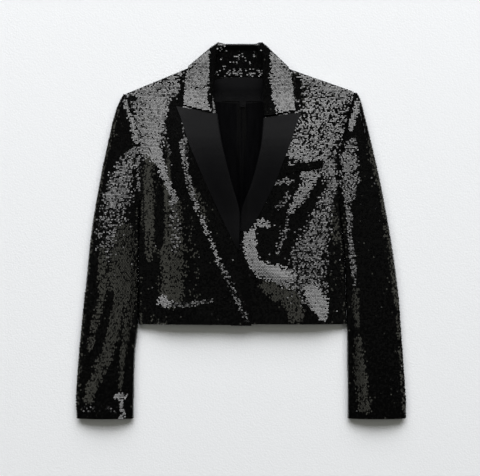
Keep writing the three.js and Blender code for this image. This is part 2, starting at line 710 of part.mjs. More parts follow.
// The collar's fall: over the right front, round the neck and under the back, over the left front
function collarFall() {
  const [right, left] = SIDES.map((side) => [...fallOnFront(side), ...collarSideFold(side)]);
  const rows = [...right, ...BACK_COLUMNS.map(collarBackSection), ...left.reverse()];
  wall('collar_fall', rows, SEQUIN_CLOTH, 'sequins', { flip: true });
}

// A piece that lies on the inside of the back, from its low edge to its high edge
function inside(name, cut, thickness, finish) {
  const rows = Array.from({ length: cut.rows }, (_, i) => {
    const v = i / (cut.rows - 1);
    const right = { x: mix(cut.low.right, cut.high.right, v) };
    const left = { x: mix(cut.low.left, cut.high.left, v) };
    return along(right, left, cut.columns).map(({ x }) => {
      const y = mix(cut.low.y(x), cut.high.y(x), v);
      const pleat = (cut.pleat ?? 0) * Math.exp(-(((x - PLEAT_AT) / PLEAT_WIDTH) ** 2));
      return point(x, y, neckLift(x, y) + cut.layer + thickness + pleat + (cut.rise ?? 0) * v);
    });
  });
  wall(name, rows, thickness, finish);
}
const PLEAT_AT = 1;
const PLEAT_WIDTH = 4;
const PLEAT_HEIGHT = 4;
const FACING_EDGE = { y: 240, drop: 4, reach: 50 };
const onBack = SEQUIN_CLOTH + 0.6;
const facingLow = (x) => FACING_EDGE.y - FACING_EDGE.drop * (1 - (x / FACING_EDGE.reach) ** 2);

function insides() {
  inside('back_lining', {
    low: { right: -70, left: 70, y: () => -70 },
    high: { right: -58, left: 58, y: (x) => facingLow(x) - SEAM },
    rows: 14,
    columns: 15,
    layer: onBack,
    pleat: PLEAT_HEIGHT,
  }, LINING, 'lining');
  inside('neck_facing', {
    low: { right: -58, left: 58, y: facingLow },
    high: { right: -50, left: 50, y: (x) => NECKLINE - 0.5 - 0.002 * x * x },
    rows: 6,
    columns: 9,
    layer: onBack,
  }, LINING, 'satin');
  inside('label', {
    low: { right: -36, left: 36, y: () => 240 },
    high: { right: -36, left: 36, y: () => 258 },
    rows: 3,
    columns: 5,
    layer: onBack + LINING + SEAM,
  }, TAPE, 'tape');
  inside('size_tab', {
    low: { right: -3, left: 8, y: () => 229 },
    high: { right: -3, left: 8, y: () => 239.5 },
    rows: 3,
    columns: 3,
    layer: onBack + LINING + SEAM + PLEAT_HEIGHT,
  }, TAPE, 'tape');
  inside('collar_stand', {
    low: { right: -54, left: 46, y: () => NECKLINE + 1.6 },
    high: { right: -41, left: 34, y: () => COLLAR_BACK.lip + 1 },
    rows: 5,
    columns: 10,
    layer: LAYER,
    rise: STAND_RISE,
  }, SEQUIN_CLOTH, 'sequins');
}

// The welt slants up towards the armhole, and its mouth stands a little open
const WELT = {
  low: [{ x: 72.5, y: 105 }, { x: 148.5, y: 117.5 }],
  high: [{ x: 79.5, y: 117.7 }, { x: 149.5, y: 130.5 }],
  mouth: 1.8,
};
function chestWelt() {
  const [low, high] = [WELT.low, WELT.high].map(([from, to]) => along(from, to, 8));
  const grid = patch(along(low[0], high[0], 3), along(low.at(-1), high.at(-1), 3), low, high);
  const rows = grid.map((row, i) => row.map(({ x, y }) => {
    const open = (WELT.mouth * i) / (grid.length - 1);
    return point(x, y, bodyTop(x, y) + LAYER + SEQUIN_CLOTH + 0.4 + open);
  }));
  const normalAt = (i, j, p) => heightNormal(bodyTop, p.x, p.y);
  wall('chest_welt', rows, SEQUIN_CLOTH, 'sequins', { normalAt });
}

back();
for (const side of SIDES) {
  front(side);
  sidePanel(side);
  sleeve(side);
  lapel(side);
}
collarFall();
insides();
chestWelt();

// The origin is the middle of the underside
const middle = new THREE.Box3().setFromObject(jacket).getCenter(new THREE.Vector3());
jacket.position.set(-middle.x, -middle.y, 0);

export default jacket;
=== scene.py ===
# %% [markdown]
# A sequin jacket, laid flat on white paper. The imported model gives every piece of cloth as a plain wall.
# This lesson turns each wall into soft cloth, lays the listed creases in it, and sews real sequins over it
# in rows. Right and left are the wearer's. Sizes are in millimetres times MM, so Blender gets metres.

# %% Load the imported jacket
import math
import random
from collections import namedtuple
import bmesh
import bpy
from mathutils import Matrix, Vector, noise
from mathutils.bvhtree import BVHTree
from mathutils.interpolate import poly_3d_calc


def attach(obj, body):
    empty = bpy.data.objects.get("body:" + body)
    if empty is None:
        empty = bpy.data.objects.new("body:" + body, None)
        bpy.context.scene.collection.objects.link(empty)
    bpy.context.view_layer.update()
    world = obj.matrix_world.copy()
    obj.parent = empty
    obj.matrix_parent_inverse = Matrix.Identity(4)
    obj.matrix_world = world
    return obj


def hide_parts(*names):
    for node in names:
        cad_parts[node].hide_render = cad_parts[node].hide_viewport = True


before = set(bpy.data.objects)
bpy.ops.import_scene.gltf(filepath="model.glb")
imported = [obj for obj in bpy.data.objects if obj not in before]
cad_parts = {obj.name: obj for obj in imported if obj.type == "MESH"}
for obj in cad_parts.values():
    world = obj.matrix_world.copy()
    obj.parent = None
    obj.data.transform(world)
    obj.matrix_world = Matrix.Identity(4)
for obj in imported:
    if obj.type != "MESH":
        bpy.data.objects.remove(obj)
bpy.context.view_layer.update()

MM = 0.001

# %% [markdown]
# The photograph looks straight down through a long lens. At 2.5 m the picture takes in 888 mm of the paper,
# so the focal length follows from those two sizes. The picture's middle lies a little below the jacket's. A
# level camera from the hem would show the jacket's height better, but it wouldn't be this picture.

# %% Camera
CAMERA_HEIGHT = 2.5
VIEW_WIDTH = 0.888
SENSOR = 36
VIEW_MIDDLE = (-1.6 * MM, -13.5 * MM)

camera = bpy.data.objects.new("camera", bpy.data.cameras.new("camera"))
camera.location = (*VIEW_MIDDLE, CAMERA_HEIGHT)
camera.data.sensor_width = SENSOR
camera.data.lens = SENSOR * CAMERA_HEIGHT / VIEW_WIDTH
bpy.context.scene.collection.objects.link(camera)
bpy.context.scene.camera = camera
print("lens in mm:", round(camera.data.lens, 1))

# %% [markdown]
# Sequins are small mirrors, so a sequin is grey where it mirrors a lamp and black everywhere else. A sky of
# even light would turn all of them grey, so the light comes from lamps. One wide soft lamp stands beyond
# the collar, with a brighter middle. Two weaker ones stand at the sides. A faint narrow one hangs almost
# straight above, a little towards the hem: it gives the black parts their grain and is too weak to turn
# them grey. Places and sizes are in metres. A lamp's glow is the light of each square metre of it, so a
# wider lamp doesn't look darker.

# %% Lights
Lamp = namedtuple("Lamp", "name place aim width depth glow colour")
LAMPS = [
    Lamp("beyond_collar", (0, 6.6, 4.65), (0, 0, 0), 12.9, 6.6, 4.0, (1, 1, 1)),
    Lamp("its_bright_middle", (0, 6.3, 4.5), (0, 0, 0), 5.1, 2.7, 4.4, (1, 1, 1)),
    Lamp("left_side", (-3.6, 0, 4.2), (0, 0, 0), 3.6, 2.2, 1.1, (1, 1, 0.86)),
    Lamp("right_side", (3.6, 0, 4.2), (0, 0, 0), 3.6, 2.2, 1.1, (1, 1, 0.86)),
    Lamp("faint_overhead", (0, -1.25, 5.0), (0, 0, 0), 3.4, 0.8, 0.08, (1, 1, 0.95)),
]


def add_lamp(lamp):
    data = bpy.data.lights.new(lamp.name, "AREA")
    data.shape = "RECTANGLE"
    data.size = lamp.width
    data.size_y = lamp.depth
    data.energy = lamp.glow * math.pi * lamp.width * lamp.depth
    data.color = lamp.colour
    light = bpy.data.objects.new(lamp.name, data)
    light.location = lamp.place
    aim = Vector(lamp.aim) - Vector(lamp.place)
    light.rotation_euler = aim.to_track_quat("-Z", "Y").to_euler()
    bpy.context.scene.collection.objects.link(light)


for lamp in LAMPS:
    add_lamp(lamp)

ROOM = 0.012
ROOM_COLOUR = (0.92, 0.95, 1.0, 1)
world = bpy.data.worlds.new("room")
world.use_nodes = True
world.node_tree.nodes["Background"].inputs["Color"].default_value = ROOM_COLOUR
world.node_tree.nodes["Background"].inputs["Strength"].default_value = ROOM
bpy.context.scene.world = world
bpy.context.scene.view_settings.view_transform = "Standard"
print("lamps:", [lamp.name for lamp in LAMPS])

# %% [markdown]
# A material's pattern is a sum of textures, so it reads best as one. This class wraps a socket, and an
# expression on it adds the Math nodes. The maker below it starts every material of the jacket.

# %% Shader maths


class Value:
    """A number that changes over a surface: the output of a node."""

    def __init__(self, maker, socket):
        self.maker = maker
        self.socket = socket

    def math(self, operation, other=0.0):
        return self.maker.node("ShaderNodeMath", {"operation": operation}, {0: self, 1: other})

    def __add__(self, other):
        return self.math("ADD", other)

    __radd__ = __add__

    def __mul__(self, other):
        return self.math("MULTIPLY", other)

    __rmul__ = __mul__

    def sine(self):
        return self.math("SINE")


class Finish:
    """One material, from its even values, with nodes added for what changes over the surface."""

    def __init__(self, name, **even):
        self.material = bpy.data.materials.new(name)
        self.material.use_nodes = True
        self.tree = self.material.node_tree
        self.shader = self.tree.nodes["Principled BSDF"]
        for socket, value in even.items():
            self.shader.inputs[socket.replace("_", " ")].default_value = value

    def node(self, kind, settings=None, sockets=None, output=0):
        made = self.tree.nodes.new(kind)
        for name, value in (settings or {}).items():
            setattr(made, name, value)
        for name, value in (sockets or {}).items():
            if isinstance(value, Value):
                self.tree.links.new(value.socket, made.inputs[name])
            else:
                made.inputs[name].default_value = value
        return Value(self, made.outputs[output])

    def place(self):
        return self.node("ShaderNodeTexCoord", output="Object")

    def along(self, x, y):
        """How far each point lies along a level direction, in metres."""
        way = {0: self.place(), 1: (x, y, 0)}
        return self.node("ShaderNodeVectorMath", {"operation": "DOT_PRODUCT"}, way, output=1)

    def noise(self, size, detail=2.0, stretch=(1, 1, 1)):
        """Cloudy values from 0 to 1, with clouds of one size in metres."""
        stretched = {0: self.place(), 1: stretch}
        at = self.node("ShaderNodeVectorMath", {"operation": "MULTIPLY"}, stretched)
        return self.node("ShaderNodeTexNoise", {}, {"Vector": at, "Scale": 1 / size, "Detail": detail})

    def colour(self, amount, low, high):
        """Base colour between two colours. Sockets 0, 6 and 7 of Mix are its factor and its two colours."""
        colours = {0: amount, 6: (*low, 1), 7: (*high, 1)}
        mixed = self.node("ShaderNodeMix", {"data_type": "RGBA"}, colours, output=2)
        self.tree.links.new(mixed.socket, self.shader.inputs["Base Color"])

    def rough(self, value):
        self.tree.links.new(value.socket, self.shader.inputs["Roughness"])

    def bump(self, height, depth):
        made = self.node("ShaderNodeBump", {}, {"Height": height, "Distance": depth})
        self.tree.links.new(made.socket, self.shader.inputs["Normal"])


# %% [markdown]
# Every piece below starts from its solid. A copy is merged, its triangles are joined back into four-sided
# cells, and the cells are cut finer and eased. Each pass eases in and then out by a little more, so the
# cloth turns soft and doesn't shrink. Points on a sharp edge stay, so the seams stay closed. A crease is
# laid in afterwards, as a ridge or a trough with soft sides and thin ends. It takes hold gradually
# above the underside, which rests flat. Cloth simulation could crease the cloth too, but not where the
# photograph shows the creases.

# %% Soft cloth from a solid
SHARP = math.radians(50)
MERGE = 0.02 * MM
EASE_IN = 0.5
EASE_OUT = -0.52
EASED = 4
FLAT_UNDER = 3
HOLD_OVER = 7
CREASE_REACH = 3
THIN_ENDS = 0.6
Crease = namedtuple("Crease", "from_x from_y to_x to_y width height")


def crease_height(creases, x, y):
    """Sum of the ridges and troughs at a point, in millimetres."""
    height = 0.0
    for crease in creases:
        run_x = crease.to_x - crease.from_x
        run_y = crease.to_y - crease.from_y
        length = math.hypot(run_x, run_y)
        along = ((x - crease.from_x) * run_x + (y - crease.from_y) * run_y) / length ** 2
        if not 0 < along < 1:
            continue
        across = ((x - crease.from_x) * run_y - (y - crease.from_y) * run_x) / length
        if abs(across) > CREASE_REACH * crease.width:
            continue
        side = math.exp(-(across / crease.width) ** 2)
        height += crease.height * side * math.sin(math.pi * along) ** THIN_ENDS
    return height


def is_soft(vert):
    """Whether no sharp edge meets at a point."""
    return all(edge.calc_face_angle(0) < SHARP for edge in vert.link_edges)


def cloth_from(node, cuts, creases):
    """A finer, creased copy of a solid's mesh, as an object that stands for the solid."""
    form = bmesh.new()
    form.from_mesh(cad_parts[node].data)
    bmesh.ops.remove_doubles(form, verts=form.verts, dist=MERGE)
    bmesh.ops.join_triangles(
        form, faces=form.faces, angle_face_threshold=SHARP, angle_shape_threshold=math.pi,
    )
    bmesh.ops.subdivide_edges(form, edges=form.edges, cuts=cuts, use_grid_fill=True)
    soft = [vert for vert in form.verts if is_soft(vert)]
    for ease in EASED * (EASE_IN, EASE_OUT):
        bmesh.ops.smooth_vert(
            form, verts=soft, factor=ease, use_axis_x=True, use_axis_y=True, use_axis_z=True,
        )
    for vert in form.verts:
        x, y, z = (value / MM for value in vert.co)
        held = min(max((z - FLAT_UNDER) / HOLD_OVER, 0), 1)
        if held and creases:
            vert.co.z += MM * held * crease_height(creases, x, y)
    form.normal_update()
    for face in form.faces:
        face.smooth = True
    for edge in form.edges:
        edge.smooth = edge.calc_face_angle(0) < SHARP
    mesh = bpy.data.meshes.new(node + "_cloth")
    form.to_mesh(mesh)
    form.free()
    piece = bpy.data.objects.new(node + "_cloth", mesh)
    bpy.context.scene.collection.objects.link(piece)
    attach(piece, "root")
    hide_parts(node)
    return piece


# %% [markdown]
# A sequin is a flat disc of 3 mm, sewn in rows across the cloth. Scattering the discs would leave gaps, so
# they are set in rows. Each row is a cut through the piece: rays from above and from below find the cloth,
# and the discs stand along that line at even steps. The back of the collar is too steep for those rays, so
# rays from behind add rows there. Geometry Nodes then puts a disc of eight corners on every point. Sequins
# hang by one thread, so they keep the way in which a hand or a fold last stroked them. Stroked towards the
# collar they mirror the big lamp, stroked aside they mirror a weak one, and stroked down they go black.

# %% Sequins in rows
SEQUIN = 1.56 * MM
ROW = 2.55 * MM
STEP = 3.0 * MM
RAY = 1.0 * MM
PROUD = 0.3 * MM
SIDE_PROUD = 0.5 * MM
UNDER = 3 * MM
ROW_START = {0: 0.6, 1: 0.1}
FOLD_SPAN = 14 * MM
FAR = 0.1
LAST_GAP = 0.5
BACK_FROM = 0.2
BACK_STEEP = 0.75
FACES_UP = 0.3
FACES_ALONG = 0.7
DISC_CORNERS = 8
DOWN = Vector((0, 0, -1))
UP = Vector((0, 0, 1))
TO_HEM = Vector((0, -1, 0))


def sequin_tree():
    """Geometry Nodes that put one disc on every point, turned by the point's own angles."""
    tree = bpy.data.node_groups.new("sequins", "GeometryNodeTree")
    tree.interface.new_socket("Geometry", in_out="INPUT", socket_type="NodeSocketGeometry")
    tree.interface.new_socket("Geometry", in_out="OUTPUT", socket_type="NodeSocketGeometry")
    points = tree.nodes.new("NodeGroupInput")
    disc = tree.nodes.new("GeometryNodeMeshCircle")
    disc.fill_type = "NGON"
    disc.inputs["Vertices"].default_value = DISC_CORNERS
    disc.inputs["Radius"].default_value = SEQUIN
    turn = tree.nodes.new("GeometryNodeInputNamedAttribute")
    turn.data_type = "FLOAT_VECTOR"
    turn.inputs["Name"].default_value = "turn"
    place = tree.nodes.new("GeometryNodeInstanceOnPoints")
    real = tree.nodes.new("GeometryNodeRealizeInstances")
    result = tree.nodes.new("NodeGroupOutput")
    tree.links.new(points.outputs[0], place.inputs["Points"])
    tree.links.new(disc.outputs["Mesh"], place.inputs["Instance"])
    tree.links.new(turn.outputs["Attribute"], place.inputs["Rotation"])
    tree.links.new(place.outputs["Instances"], real.inputs["Geometry"])
    tree.links.new(real.outputs["Geometry"], result.inputs[0])
    return tree


SEQUIN_TREE = sequin_tree()


def runs_on(last, first):
    """Whether one stretch of a row goes on into the next, as it does round a fold."""
    return (last - first).length < FOLD_SPAN and abs(last.x - first.x) < 2 * RAY


def cut_line(tree, low, high, y):
    """The cloth's outline at one row: over the top from left to right, then back underneath."""
    steps = int((high.x - low.x) / RAY) + 2
    across = [low.x - RAY / 2 + k * RAY for k in range(steps)]
    lines = []
    for height, way, wanted in ((high.z + FAR, DOWN, 1), (low.z - FAR, UP, -1)):
        line = []
        for x in (across if wanted > 0 else across[::-1]):
            hit, normal, _, _ = tree.ray_cast(Vector((x, y, height)), way)
            shows = hit is not None and normal.z * wanted > 0 and (hit.z > UNDER) == (wanted > 0)
            if shows:
                line.append(hit)
            elif line:
                lines.append(line)
                line = []
        if line:
            lines.append(line)
    joined = []
    for line in lines:
        if joined and runs_on(joined[-1][-1], line[0]):
            joined[-1].extend(line)
        else:
            joined.append(list(line))
    return joined


def even_points(line, start):
    """Points at even steps along a line, and one more where the last step would leave a gap."""
    points = []
    due = start
    for first, second in zip(line, line[1:]):
        length = (second - first).length
        while due <= length:
            points.append(first.lerp(second, due / length if length else 0))
            due += STEP
        due -= length
    if due < LAST_GAP * STEP:
        points.append(line[-1])
    return points


def smooth_sides(piece):
    """The piece with its sharp edges split, so a normal near an edge is the cloth's own."""
    form = bmesh.new()
    form.from_mesh(piece.data)
    sharp = [edge for edge in form.edges if edge.calc_face_angle(0) > SHARP]
    bmesh.ops.split_edges(form, edges=sharp)
    form.normal_update()
    form.verts.ensure_lookup_table()
    form.faces.ensure_lookup_table()
    return form


def facing_at(form, face, at):
    """The cloth's normal at a point, blended between the corners of its face."""
    corners = form.faces[face].verts
    facing = Vector((0, 0, 0))
    for vert, weight in zip(corners, poly_3d_calc([vert.co for vert in corners], at)):
        facing += vert.normal * weight
    return facing.normalized()


def sequin_places(piece):
    """A place and a facing for every sequin on one piece."""
    form = smooth_sides(piece)
    tree = BVHTree.FromBMesh(form)
    low = Vector([min(vert.co[k] for vert in form.verts) for k in range(3)])
    high = Vector([max(vert.co[k] for vert in form.verts) for k in range(3)])
    found = []
    for row in range(math.floor(low.y / ROW), int(high.y / ROW) + 1):
        start = STEP * ROW_START[row % 2]
        for line in cut_line(tree, low, high, row * ROW):
            found.extend((at, False) for at in even_points(line, start))
    z = low.z + ROW / 2
    while z < high.z:
        for k in range(int((high.x - low.x) / STEP)):
            hit, normal, _, _ = tree.ray_cast(Vector((low.x + k * STEP, high.y + FAR, z)), TO_HEM)
            if hit is not None and normal.y > BACK_STEEP and hit.y > BACK_FROM:
                found.append((hit, True))
        z += ROW
    places = []
    for at, steep_row in found:
        near, _, face, _ = tree.find_nearest(at)
        facing = facing_at(form, face, near)
        if steep_row or abs(facing.z) > FACES_UP or abs(facing.y) < FACES_ALONG:
            places.append((near, facing))
    form.free()
    return places


# %% [markdown]
# The strokes are read off the photograph, in its own pixels: a path of points, each with its x,
# its y and the stroke's half width there. The share is how many of the sequins there follow the stroke, so
# a low share gives a speckled patch. Neighbours tend to follow together, because real sequins catch on each
# other, and a smooth noise gives that. A later stroke lies over an earlier one. A shade is a tilt: bright
# mirrors the middle of the big lamp, grey its dimmer edge, left and right mirror the side lamps, and dark
# mirrors none of them. Each tilt is in degrees, across and towards the collar.

# %% Strokes
PIXEL = 1.85 * MM
PICTURE_ORIGIN = (240.9, 230.8)
Stroke = namedtuple("Stroke", "shade share path")
CLUMP = 4.0
CLUMPED = 0.27
CLUMP_MIDDLE = 0.5
CLUMP_SWING = 0.9
HEART = 1.7
FADE = 1.2
TILTS = {"bright": (0, 26.5), "grey": (0, 17.4), "left": (-20, 2), "right": (20, 2), "dark": (0, -7)}
FRONT_RIGHT_STROKES = [
    Stroke("dark", 1.0, [(140, 240, 12), (160, 300, 22), (230, 312, 14)]),
    Stroke("dark", 1.0, [(140, 92, 9), (187, 76, 14)]),
    Stroke("grey", 0.6, [(140, 95, 7), (165, 90, 10), (187, 80, 10)]),
    Stroke("grey", 0.72, [(150, 104, 16), (150, 125, 17), (150, 145, 14)]),
    Stroke("bright", 0.45, [(140, 95, 6), (165, 90, 9), (187, 80, 9)]),
    Stroke("bright", 0.62, [(152, 104, 13), (152, 120, 15), (151, 140, 12), (151, 155, 9)]),
    Stroke("bright", 0.85, [(156, 150, 6), (162, 165, 4.5), (167, 180, 3.5), (173, 192, 3), (178, 204, 2)]),
    Stroke("dark", 1.0, [
        (177, 107, 9), (175, 130, 9), (177, 150, 7), (183, 175, 7), (190, 200, 8), (200, 228, 10),
    ]),
    Stroke("dark", 1.0, [(200, 228, 12), (208, 252, 14), (212, 275, 14), (218, 292, 12)]),
    Stroke("dark", 1.0, [
        (188, 125, 4), (200, 165, 9), (212, 200, 10), (224, 235, 10), (232, 265, 9), (240, 285, 6),
    ]),
    Stroke("left", 0.2, [(187, 203, 6), (192, 262, 8), (196, 300, 6)]),
    Stroke("left", 0.5, [(193, 190, 4), (201, 206, 5), (206, 220, 4)]),
    Stroke("grey", 0.6, [(182, 142, 2), (185, 158, 3), (188, 175, 3), (192, 190, 3), (196, 205, 3)]),
    Stroke("bright", 0.46, [(196, 205, 3), (203, 220, 3), (210, 238, 3), (216, 252, 3), (221, 265, 3)]),
    Stroke("grey", 0.55, [(221, 265, 3), (228, 277, 3), (233, 290, 3), (240, 305, 3), (247, 318, 3)]),
    Stroke("left", 0.6, [(149, 163, 6), (150, 200, 5), (150, 230, 5), (150, 257, 4)]),
    Stroke("dark", 1.0, [(161, 190, 4), (161, 215, 5), (160, 245, 5)]),
    Stroke("left", 0.75, [(178, 205, 4), (177, 225, 6), (175, 250, 10), (173, 275, 12), (171, 297, 11)]),
    Stroke("grey", 0.5, [(173, 202, 4), (177, 225, 5), (176, 250, 4)]),
    Stroke("bright", 0.8, [(164, 301, 6), (169, 302, 4)]),
    Stroke("dark", 0.75, [(187, 66, 3), (183, 85, 3.5), (182, 104, 3.5)]),
    Stroke("grey", 0.7, [(170, 303, 2.5), (190, 304, 3), (212, 300, 2)]),
]
FRONT_LEFT_STROKES = [
    Stroke("dark", 1.0, [(322, 80, 34), (318, 150, 34)]),
    Stroke("dark", 1.0, [(300, 200, 40), (300, 250, 46), (300, 310, 46)]),
    Stroke("dark", 1.0, [(255, 225, 14), (255, 315, 16)]),
    Stroke("right", 0.35, [(300, 78, 12), (306, 100, 12), (330, 80, 14)]),
    Stroke("bright", 0.55, [(300, 72, 8), (325, 82, 10), (346, 96, 8)]),
    Stroke("grey", 0.46, [(326, 92, 27), (323, 115, 28), (318, 135, 28), (312, 150, 26), (320, 160, 17)]),
    Stroke("bright", 0.38, [(326, 92, 26), (323, 115, 27), (318, 135, 27), (312, 150, 25), (320, 160, 16)]),
    Stroke("bright", 0.6, [(292, 150, 8), (302, 156, 8)]),
    Stroke("dark", 0.85, [(297, 82, 3), (300, 108, 3)]),
    Stroke("grey", 0.7, [(327, 165, 8), (331, 185, 7), (329, 200, 4)]),
    Stroke("bright", 0.75, [(302, 176, 4), (313, 177, 5), (305, 188, 6), (297, 200, 5), (290, 212, 3)]),
    Stroke("grey", 0.6, [(275, 184, 3), (290, 181, 4)]),
    Stroke("grey", 0.6, [(288, 195, 3), (278, 208, 3)]),
    Stroke("grey", 0.5, [(288, 215, 3), (283, 235, 4), (277, 252, 3)]),
    Stroke("bright", 0.5, [(250, 226, 5), (262, 222, 5), (271, 227, 3)]),
    Stroke("bright", 1.0, [
        (250, 236, 6), (250, 250, 6), (254, 262, 6), (262, 269, 7), (276, 274, 9), (292, 281, 9),
    ]),
    Stroke("grey", 0.68, [
        (325, 203, 8), (319, 222, 12), (313, 240, 14), (308, 258, 18), (306, 275, 19), (306, 288, 19),
    ]),
    Stroke("dark", 0.8, [(297, 258, 1.2), (296.6, 298, 1.2)]),
    Stroke("bright", 0.9, [(311, 291, 8), (317, 301, 9), (321, 314, 6)]),
    Stroke("right", 0.85, [(264, 285, 5), (276, 291, 8), (290, 298, 9), (296, 315, 8)]),
    Stroke("dark", 1.0, [(256, 300, 8), (268, 313, 9), (250, 320, 6)]),
    Stroke("right", 0.5, [(334, 212, 4), (335, 242, 5)]),
]
SLEEVE_RIGHT_STROKES = [
    Stroke("dark", 1.0, [(110, 100, 30), (108, 160, 34), (106, 260, 40), (105, 420, 40)]),
    Stroke("bright", 0.8, [(127, 103, 3), (132, 120, 3), (137, 142, 2.5)]),
    Stroke("grey", 0.6, [(138, 142, 2), (138.5, 190, 2)]),
    Stroke("grey", 0.7, [(134, 152, 4), (128, 165, 8), (122, 180, 11), (119, 195, 13)]),
    Stroke("grey", 0.5, [(118, 203, 15), (113, 225, 16), (111, 250, 13)]),
    Stroke("left", 0.85, [(125, 232, 9), (123, 260, 12), (121, 288, 12)]),
    Stroke("left", 0.75, [(104, 250, 4), (104, 275, 5), (103, 300, 4), (97, 320, 4), (91, 348, 3)]),
    Stroke("left", 0.9, [
        (122, 290, 8), (118, 310, 7), (113, 335, 7), (108, 352, 7), (100, 370, 6), (89, 398, 5),
    ]),
    Stroke("left", 0.8, [(133, 275, 5), (131, 300, 5), (128, 325, 4), (124, 350, 3), (121, 388, 2)]),
    Stroke("dark", 1.0, [(113, 292, 2.5), (107, 325, 3), (99, 352, 3)]),
    Stroke("bright", 0.85, [(118, 395, 3.5), (124, 395, 3.5)]),
    Stroke("bright", 0.6, [(122, 400, 2), (123, 416, 3)]),
    Stroke("left", 0.45, [(120, 104, 2), (107, 160, 2), (94, 222, 2), (84, 315, 2), (79, 402, 2)]),
    Stroke("grey", 0.3, [(86, 409, 4), (120, 407, 4)]),
]
SLEEVE_LEFT_STROKES = [
    Stroke("dark", 1.0, [(372, 100, 30), (374, 160, 34), (376, 260, 40), (378, 420, 40)]),
    Stroke("bright", 0.8, [(357, 103, 3), (353, 118, 3), (350, 130, 2.5)]),
    Stroke("grey", 0.6, [(351, 145, 6), (349, 162, 8)]),
    Stroke("grey", 0.75, [(347, 160, 7), (349, 180, 9), (348, 197, 5)]),
    Stroke("grey", 0.75, [(347, 200, 3), (349, 220, 2.5), (350, 245, 2.5), (353, 265, 2.5), (354, 284, 2)]),
    Stroke("right", 0.8, [(355, 290, 3), (355, 305, 3), (357, 325, 2.5)]),
    Stroke("right", 0.9, [(358, 340, 4), (358, 360, 5), (361, 385, 6), (364, 407, 6)]),
    Stroke("right", 0.45, [(362, 104, 2), (374, 160, 2), (388, 235, 2), (398, 335, 2), (403, 410, 2)]),
    Stroke("right", 0.6, [
        (371, 145, 5), (380, 178, 6), (386, 205, 6), (390, 235, 6), (393, 265, 5), (397, 305, 4),
    ]),
]
COLLAR_STROKES = [
    Stroke("bright", 0.97, [(193, 50, 26), (195, 110, 26)]),
    Stroke("bright", 0.97, [(287, 50, 24), (287, 112, 26)]),
    Stroke("dark", 0.45, [(186, 90, 1.2), (207, 88, 1.2)]),
    Stroke("dark", 1.0, [(214, 50, 4), (213, 75, 3.5), (214, 98, 5.5), (217, 112, 7)]),
    Stroke("dark", 1.0, [(265, 48, 5), (265, 80, 5), (266, 100, 6.5), (268, 114, 8)]),
]
STAND_STROKES = [
    Stroke("dark", 0.97, [(239, 40, 30), (239, 80, 30)]),
    Stroke("grey", 0.15, [(239, 44, 26), (239, 76, 26)]),
    Stroke("bright", 0.45, [(238, 48, 2), (238, 64, 2)]),
    Stroke("grey", 0.33, [(215, 72, 4), (262, 73, 4)]),
]


def in_picture(at):
    """The picture's pixel under a place on the jacket."""
    return PICTURE_ORIGIN[0] + at.x / PIXEL, PICTURE_ORIGIN[1] - at.y / PIXEL


def reach_into(stroke, x, y):
    """1 at the heart of a stroke, and 0 a little way outside its half width."""
    best = 0.0
    for (x0, y0, half0), (x1, y1, half1) in zip(stroke.path, stroke.path[1:]):
        run_x = x1 - x0
        run_y = y1 - y0
        along = ((x - x0) * run_x + (y - y0) * run_y) / (run_x ** 2 + run_y ** 2)
        along = min(max(along, 0), 1)
        half = half0 + (half1 - half0) * along
        away = math.hypot(x - x0 - run_x * along, y - y0 - run_y * along)
        best = max(best, min(max(HEART - FADE * away / half, 0), 1))
    return best


def stroke_bounds(stroke):
    """The box of pixels that a stroke can reach."""
    reach = HEART / FADE
    across = [x + side * reach * half for x, _, half in stroke.path for side in (-1, 1)]
    up = [y + side * reach * half for _, y, half in stroke.path for side in (-1, 1)]
    return min(across), max(across), min(up), max(up)


def stroked(strokes, x, y, chance):
    """The shade of the last stroke that takes hold of a sequin at a pixel, or nothing."""
    shade = None
    clump = CLUMP_MIDDLE + CLUMP_SWING * noise.noise(Vector((x, y, 0)) / CLUMP)
    for stroke, (left, right, top, bottom) in strokes:
        if left < x < right and top < y < bottom:
            drawn = (1 - CLUMPED) * chance.random() + CLUMPED * clump
            if drawn < stroke.share * reach_into(stroke, x, y):
                shade = stroke.shade
    return shade


# %% [markdown]
# Each sequin's facing is the cloth's own, or where it is stroked the stroke's. Every one then sways by a
# few degrees, and a few hang loose, which gives the single sparkles.

# %% Sewing them on
STROKED_FROM = 0.6
LAP = math.radians(4)
SWAY = math.radians(3.0)
LOOSE_SHARE = 0.03
LOOSE_SWAY = math.radians(12)
STROKED_SWAY = math.radians(3.7)


def sequin_facing(facing, shade, nap, chance):
    """Which way one sequin faces: with its cloth, or as its stroke tilts it, and swayed by chance."""
    sway = SWAY if shade in (None, "dark") else STROKED_SWAY
    if chance.random() < LOOSE_SHARE:
        sway = LOOSE_SWAY
    lean = Vector((chance.gauss(0, sway), chance.gauss(0, sway), 0))
    if shade is None:
        lean.y += nap * LAP
        return (facing + lean).normalized()
    tilt_x, tilt_y = TILTS[shade]
    wanted = Vector((math.tan(math.radians(tilt_x)), math.tan(math.radians(tilt_y)), 1)).normalized()
    return (wanted + lean).normalized()


